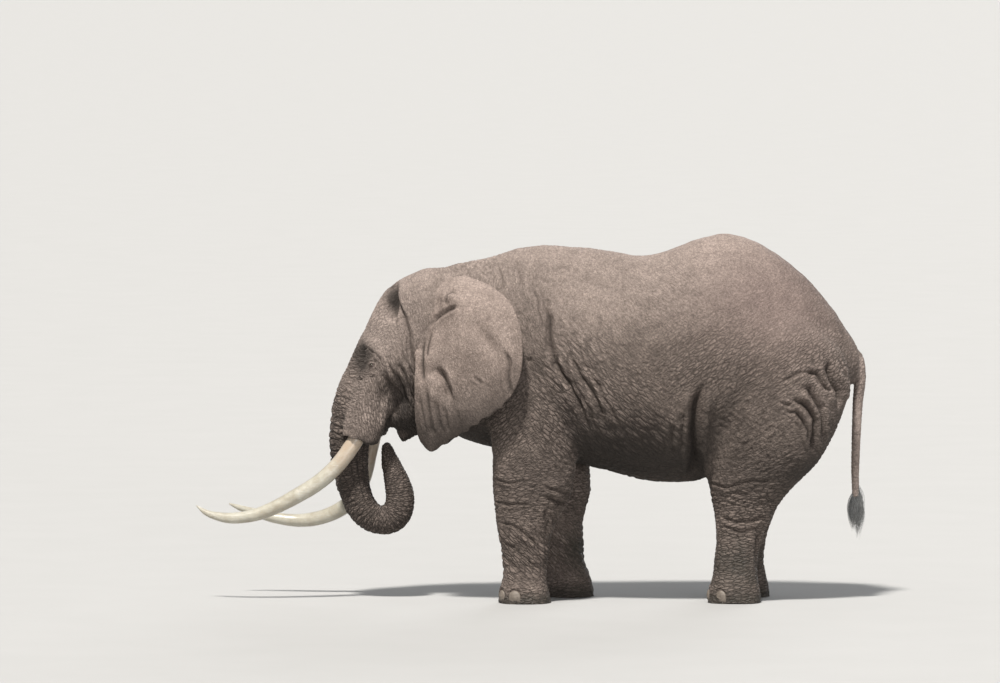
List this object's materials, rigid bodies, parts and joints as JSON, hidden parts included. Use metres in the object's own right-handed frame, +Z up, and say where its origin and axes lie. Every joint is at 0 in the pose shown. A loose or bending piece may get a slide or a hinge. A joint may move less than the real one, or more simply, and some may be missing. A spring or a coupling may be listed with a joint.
{
  "type": "elephant",
  "caption": "Life-size African bush elephant bull, standing with its trunk curled up to its mouth to feed, as a still museum model.",
  "frame": {"origin": "on the floor under the middle of the whole animal's box, tusks and tail counted", "axes": "+Z up, +X from the head to the tail along the animal's length, +Y to the animal's right"},
  "size_m": [6.0916, 1.7414, 3.3318],
  "materials": {
    "skin": "matt wrinkled grey-brown hide, dusty on the back",
    "ivory": "satin ivory with fine grain, stained at the root",
    "nail": "matt horn with fine ridges",
    "eye": "wet brown eye",
    "tail_hair": "stiff dark wiry hair"
  },
  "bodies": {
    "root": {"barrel": "skin", "ear_left": "skin", "ear_right": "skin", "eye_left": "eye", "eye_right": "eye", "fore_left_foot": "skin", "fore_left_forearm": "skin", "fore_right_foot": "skin", "fore_right_forearm": "skin", "forequarters": "skin", "head": "skin", "hind_left_foot": "skin", "hind_left_shank": "skin", "hind_right_foot": "skin", "hind_right_shank": "skin", "hindquarters": "skin", "lower_lip": "skin", "nail_fore_left_1": "nail", "nail_fore_left_2": "nail", "nail_fore_left_3": "nail", "nail_fore_left_4": "nail", "nail_fore_right_1": "nail", "nail_fore_right_2": "nail", "nail_fore_right_3": "nail", "nail_fore_right_4": "nail", "nail_hind_left_1": "nail", "nail_hind_left_2": "nail", "nail_hind_left_3": "nail", "nail_hind_right_1": "nail", "nail_hind_right_2": "nail", "nail_hind_right_3": "nail", "neck": "skin", "tail": "skin", "tail_tuft": "tail_hair", "trunk_bend": "skin", "trunk_tip": "skin", "trunk_upper": "skin", "tusk_left": "ivory", "tusk_right": "ivory"}
  },
  "joints": []
}
